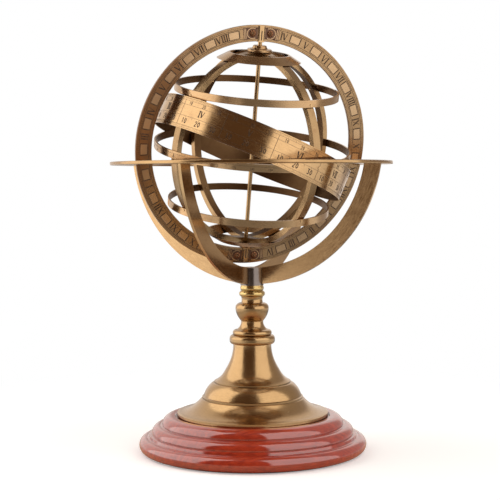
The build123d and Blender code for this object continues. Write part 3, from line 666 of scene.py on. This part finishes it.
# ---- Engraving of each ring ----
def engrave_meridian(fill):
    """Degree scales, hour numerals and pale plates on both faces of the meridian ring."""
    pale = brass("plate_brass", PLATE_BRASS, CENTRE, FACE_NORMAL, patch=BROWN_SIDE)
    full = 2 * math.pi * MERIDIAN_MIDDLE
    pitch = full / MERIDIAN_PLACES
    inner, outer = MERIDIAN_SCALE
    for side, name in ((1, "front"), (-1, "back")):
        engraving = Engraving(on_meridian(side, MERIDIAN_FACE))
        plates = Engraving(on_meridian(side, PLATE_FACE))
        for v, width in ((-outer, FINE_LINE), (-inner, HEAVY_LINE), (inner, HEAVY_LINE), (outer, FINE_LINE)):
            engraving.circle(v, width, full)
        for degree in range(360):
            u = full * degree / 360
            reach = outer if degree % 5 else MERIDIAN_LONG_TICK
            engraving.stroke((u, inner), (u, reach), HAIR_LINE)
            if degree % 5 == 0:
                engraving.stroke((u, -inner), (u, -outer), HAIR_LINE)
        for direction, start, hour, count in MERIDIAN_ROWS:
            for step in range(count):
                u = direction * (full * start + pitch * step)
                value = (hour + direction * step - 1) % 12 + 1
                roman_numeral(engraving, value, u, **MERIDIAN_NUMERAL)
                if step < count - 1:
                    plate(engraving, plates, u + direction * pitch / 2)
        plate(engraving, plates, pitch / 2 - full * LEFT_START)
        engraving.finish(f"meridian_engraving_{name}", "meridian", fill)
        plates.finish(f"meridian_plates_{name}", "meridian", pale)


def plate(engraving, plates, u):
    """A pale plate between two numerals, outlined more heavily at its ends."""
    left, right = u - PLATE_HALF_LENGTH, u + PLATE_HALF_LENGTH
    low, high = -PLATE_HALF_WIDTH, PLATE_HALF_WIDTH
    plates.stroke((left, 0), (right, 0), high - low, PLATE_STEPS)
    for end in (left, right):
        engraving.stroke((end, low), (end, high), PLATE_END_LINE)
    for level in (low, high):
        engraving.stroke((left, level), (right, level), PLATE_SIDE_LINE, PLATE_STEPS)


def engrave_zodiac(fill):
    """Degree scales, twelve divisions, numbers and numerals round the ecliptic band."""
    engraving = Engraving(on_band(SPHERE_CENTRE, EQUINOX, ECLIPTIC, ZODIAC_RADIUS))
    full = 2 * math.pi * ZODIAC_RADIUS
    month_length = full / 12
    inner, outer = ZODIAC_SCALE
    row_low, row_high = ZODIAC_NUMERAL_ROW
    for v in (-outer, -inner, row_low, row_high, inner, outer):
        engraving.circle(v, BAND_LINE, full)
    for degree in range(360):
        u = full * degree / 360
        low_gap, high_gap = ZODIAC_TICK_GAPS if degree % 5 else (0.0, 0.0)
        for low, high in ((inner, outer), (-outer, -inner)):
            engraving.stroke((u, low + low_gap), (u, high - high_gap), HAIR_LINE)
    for month in range(12):
        start = month_length * month
        middle = start + month_length / 2
        engraving.stroke((start, -inner), (start, inner), HEAVY_LINE)
        roman_numeral(engraving, month + 1, middle, **ZODIAC_NUMERAL)
        for third in range(3):
            u = start + month_length * (third + 0.5) / 3
            number(engraving, 10 * (third + 1), u, **ZODIAC_DEGREES)
            number(engraving, 10 * (third + 1), u, **ZODIAC_SMALL_DEGREES)
        for sixth in range(1, 6):
            u = start + month_length * sixth / 6
            engraving.stroke((u, ZODIAC_DIVIDER_END), (u, row_low), DIVIDER)
    engraving.finish("zodiac_engraving", "sphere", fill)


def engrave_equator(fill):
    """A degree scale along the equator band."""
    engraving = Engraving(on_band(SPHERE_CENTRE, EQUINOX, POLAR, EQUATOR_RADIUS))
    full = 2 * math.pi * EQUATOR_RADIUS
    engraving.circle(EQUATOR_LINE, HAIR_LINE, full)
    for degree in range(0, 360, 2):
        u = full * degree / 360
        top = EQUATOR_SHORT_TICK if degree % 10 else EQUATOR_LONG_TICK
        engraving.stroke((u, EQUATOR_LINE), (u, top), FINE_LINE)
    for degree in range(0, 360, 10):
        number(engraving, degree, full * degree / 360 + EQUATOR_DEGREES_SHIFT, **EQUATOR_DEGREES)
    engraving.finish("equator_engraving", "sphere", fill)


def engrave_horizon(fill):
    """Compass degrees and numerals on the top of the horizon ring."""
    engraving = Engraving(on_plane(ORIGIN, EAST, BACK, UP, HORIZON_TOP, HORIZON_MIDDLE))
    full = 2 * math.pi * HORIZON_MIDDLE
    row_low, row_high = HORIZON_NUMERAL_ROW
    inner, outer = HORIZON_SCALE
    for v in (row_low, row_high, inner, outer):
        engraving.circle(v, TABLE_LINE, full)
    for degree in range(360):
        u = full * degree / 360
        reach = outer if degree % 5 else HORIZON_LONG_TICK
        engraving.stroke((u, inner), (u, reach), FINE_LINE)
    for step in range(36):
        u = full * step / 36
        between = u + full / 72
        number(engraving, step * 10, u, **HORIZON_DEGREES)
        engraving.stroke((between, row_high), (between, inner), DIVIDER)
    for month in range(12):
        start = full * month / 12
        middle, quarter = start + full / 24, start + full / 48
        roman_numeral(engraving, month + 1, middle, **HORIZON_NUMERAL)
        engraving.stroke((quarter, row_low), (quarter, row_high), DIVIDER)
    engraving.finish("horizon_engraving", "stand", fill)


# ---- Ornaments at the poles ----
def rosette(name, seat, normal, radius, material):
    """A small domed flower with eight petals."""
    mesh = bmesh.new()
    rows = []
    for ring in range(FLOWER_RINGS + 1):
        share = ring / FLOWER_RINGS
        dome = FLOWER_HEIGHT * math.sin(FLOWER_DOME * share)
        row = []
        for index in range(FLOWER_SIDES):
            angle = 2 * math.pi * index / FLOWER_SIDES
            wave = math.cos(PETALS * angle)
            distance = radius * (1 - FLOWER_TAPER * share) * (1 + PETAL_REACH * share * wave)
            lift = dome * (1 + PETAL_RELIEF * wave) if ring else -SINK
            ray = EAST * math.cos(angle) + POLAR * math.sin(angle)
            row.append(mesh.verts.new(seat + ray * distance + normal * lift))
        rows.append(row)
    skin(mesh, rows)
    for face in mesh.faces:
        face.smooth = True
    add_piece(name, mesh, "meridian", material)


def ornament_ground(engraving, hand):
    """Dark ground beside a bracket: short radial strokes laid close together."""
    for step in range(GROUND_STROKES):
        u = hand * (GROUND_START + GROUND_PITCH * step)
        engraving.stroke((u, -GROUND_HALF_WIDTH), (u, GROUND_HALF_WIDTH), GROUND_LINE)


def ornament_scroll(engraving, hand):
    """A raised C round the flower, with a dot at each end, and two radial bars beyond it."""
    points = []
    for step in range(SCROLL_STEPS + 1):
        angle = SCROLL_END * (2 * step / SCROLL_STEPS - 1)
        u = FLOWER_SEAT + SCROLL_REACH_ALONG * math.cos(angle)
        points.append((hand * u, SCROLL_REACH_ACROSS * math.sin(angle)))
    engraving.path(points, SCROLL_LINE)
    for u, v in (points[0], points[-1]):
        engraving.stroke((u - SCROLL_DOT / 2, v), (u + SCROLL_DOT / 2, v), SCROLL_DOT)
    for u in BAR_PLACES:
        engraving.stroke((hand * u, -BAR_HALF_LENGTH), (hand * u, BAR_HALF_LENGTH), BAR_LINE)


def pole_ornaments(fill):
    """Flowers and scrolls on dark ground either side of each bracket, and the bracket's grooves, whose two
    dark side lines are painted shadow along its edges.
    """
    flower = brass("rosette_brass", FLOWER_BRASS, CENTRE, FACE_NORMAL, rough=0.25)
    scroll_brass = brass("scroll_brass", PLATE_BRASS, CENTRE, FACE_NORMAL, rough=0.25, patina=0.4)
    ground_brass = brass("ground_brass", GROUND_BRASS, CENTRE, FACE_NORMAL, rough=0.3, patina=0.3)
    for pole_name, pole in (("north", 1), ("south", -1)):
        for face_name, side in (("front", 1), ("back", -1)):
            face = f"{pole_name}_{face_name}"
            normal = FACE_NORMAL * side
            ground = Engraving(on_meridian(side, MERIDIAN_FACE, pole))
            scroll = Engraving(on_meridian(side, MERIDIAN_FACE + SCROLL_LIFT, pole))
            for hand_name, hand in (("left", -1), ("right", 1)):
                angle = FLOWER_SEAT * hand / MERIDIAN_MIDDLE
                ray = EAST * (side * math.sin(angle)) + POLAR * (pole * math.cos(angle))
                seat = CENTRE + ray * MERIDIAN_MIDDLE + normal * MERIDIAN_FACE
                eye = seat + normal * EYE_LIFT
                rosette(f"rosette_{face}_{hand_name}", seat, normal, FLOWER_RADIUS, flower)
                rosette(f"rosette_eye_{face}_{hand_name}", eye, normal, EYE_RADIUS, scroll_brass)
                ornament_ground(ground, hand)
                ornament_scroll(scroll, hand)
            ground.finish(f"ornament_ground_{face}", "meridian", ground_brass)
            scroll.finish(f"ornament_scroll_{face}", "meridian", scroll_brass)
            groove = Engraving(on_meridian(side, BRACKET_FACE, pole))
            half = BRACKET_LENGTH / 2
            groove.stroke((0, -half), (0, MIDDLE_GROOVE_END), MIDDLE_GROOVE_LINE, GROOVE_STEPS)
            # Two shallow side grooves filled dark: painted shadow along the bracket's edges.
            for u in (-SIDE_SHADOW_GROOVE_PLACE, SIDE_SHADOW_GROOVE_PLACE):
                groove.stroke((u, -half), (u, half), SIDE_SHADOW_GROOVE_LINE, GROOVE_STEPS)
            groove.finish(f"bracket_grooves_and_painted_shadow_{face}", "meridian", fill)


# ---- Studio: camera, floor and light ----
def camera_directions():
    """Level directions from the object towards the camera and to the camera's right."""
    azimuth = math.radians(CAMERA_AZIMUTH)
    front = Vector((math.sin(azimuth), -math.cos(azimuth), 0))
    return front, UP.cross(front)


def make_camera():
    data = bpy.data.cameras.new("camera")
    data.lens = CAMERA_LENS
    data.sensor_width = 36.0
    data.clip_end = 50.0
    camera = bpy.data.objects.new("camera", data)
    bpy.context.scene.collection.objects.link(camera)
    place = camera_directions()[0] * CAMERA_DISTANCE + UP * CAMERA_HEIGHT
    turn = Matrix.Rotation(math.radians(CAMERA_AZIMUTH + CAMERA_YAW), 4, "Z")
    tilt = Matrix.Rotation(math.radians(90 - CAMERA_PITCH), 4, "X")
    roll = Matrix.Rotation(math.radians(CAMERA_ROLL), 4, "Z")
    camera.matrix_world = Matrix.Translation(place) @ turn @ tilt @ roll
    bpy.context.scene.camera = camera


def make_floor():
    """A round pale floor that fades to white away from the object."""
    bpy.ops.mesh.primitive_circle_add(vertices=128, radius=FLOOR_RADIUS, fill_type="NGON")
    floor = bpy.context.object
    floor.name = "studio_floor"
    floor.location.z = -FLOOR_DROP
    material, nodes = new_material("studio_floor")
    place = nodes.place()
    distance = nodes.add("ShaderNodeVectorMath", {0: place}, operation="LENGTH").outputs["Value"]
    aside = nodes.dot(place, camera_directions()[1])
    seen = nodes.add("ShaderNodeLightPath").outputs["Is Camera Ray"]

    # Close to the object the floor is paper, warmer in the object's reflections than to the camera.
    beside = nodes.range(nodes.math("ABSOLUTE", aside), *FLOOR_WARM_ASIDE)
    reflected = nodes.mix(beside, FLOOR_REFLECTED, FLOOR_PAPER)
    paper = nodes.add("ShaderNodeBsdfDiffuse", {"Color": nodes.mix(seen, reflected, FLOOR_PAPER)})
    lift = nodes.math("MULTIPLY", seen, FLOOR_LIFT)
    lifted = nodes.add("ShaderNodeEmission", {"Color": WHITE, "Strength": lift})
    near = nodes.add("ShaderNodeAddShader", {0: paper.outputs[0], 1: lifted.outputs[0]})

    # Further off it is white to the camera, and in reflections it glows on both sides.
    right = nodes.range(aside, *FLOOR_RIGHT_ASIDE, FLOOR_DIM, FLOOR_BRIGHT)
    left = nodes.range(aside, *FLOOR_LEFT_ASIDE, 0.0, FLOOR_BRIGHT)
    glow = nodes.math("MAXIMUM", nodes.math("MAXIMUM", right, left), seen)
    far = nodes.add("ShaderNodeEmission", {"Color": WHITE, "Strength": glow})

    fade = nodes.range(distance, *FLOOR_FADE)
    nodes.output(nodes.add("ShaderNodeMixShader", {0: fade, 1: near.outputs[0], 2: far.outputs[0]}))
    floor.data.materials.append(material)


def make_world():
    """Tall soft panels round the object, a dim warm room between them, and a white background."""
    world = bpy.data.worlds.new("studio")
    bpy.context.scene.world = world
    world.use_nodes = True
    nodes = Nodes(world.node_tree)
    direction = nodes.add("ShaderNodeTexCoord").outputs["Generated"]
    front, right = camera_directions()
    azimuth = nodes.math("ARCTAN2", nodes.dot(direction, right), nodes.dot(direction, front))
    rise = nodes.dot(direction, UP)
    light = nodes.range(rise, *OVERHEAD_RISE, 0.0, OVERHEAD)
    for low, high, soft, head, strength in PANELS:
        start = nodes.range(azimuth, math.radians(low - soft), math.radians(low + soft))
        end = nodes.range(azimuth, math.radians(high - soft), math.radians(high + soft), 1.0, 0.0)
        foot = nodes.range(rise, *PANEL_FOOT, 0.0, strength)
        tall = nodes.math("MULTIPLY", foot, nodes.range(rise, *head, 1.0, 0.0))
        wide = nodes.math("MULTIPLY", start, end)
        light = nodes.math("ADD", light, nodes.math("MULTIPLY", wide, tall))
    lit = nodes.add("ShaderNodeBackground", {"Color": PANEL_WHITE, "Strength": light})
    shade = nodes.add("ShaderNodeBackground", {"Color": SHADE_COLOUR, "Strength": SHADE})
    room = nodes.add("ShaderNodeAddShader", {0: lit.outputs[0], 1: shade.outputs[0]})
    white = nodes.add("ShaderNodeBackground", {"Color": WHITE, "Strength": 1.0})
    camera_ray = nodes.add("ShaderNodeLightPath").outputs["Is Camera Ray"]
    mixed = nodes.add("ShaderNodeMixShader", {0: camera_ray, 1: room.outputs[0], 2: white.outputs[0]})
    nodes.output(mixed, "ShaderNodeOutputWorld")


dress_all()
FILL = engraving_fill()
engrave_meridian(FILL)
engrave_zodiac(FILL)
engrave_equator(FILL)
engrave_horizon(FILL)
pole_ornaments(FILL)
make_camera()
make_floor()
make_world()
bpy.context.scene.view_settings.view_transform = "Standard"
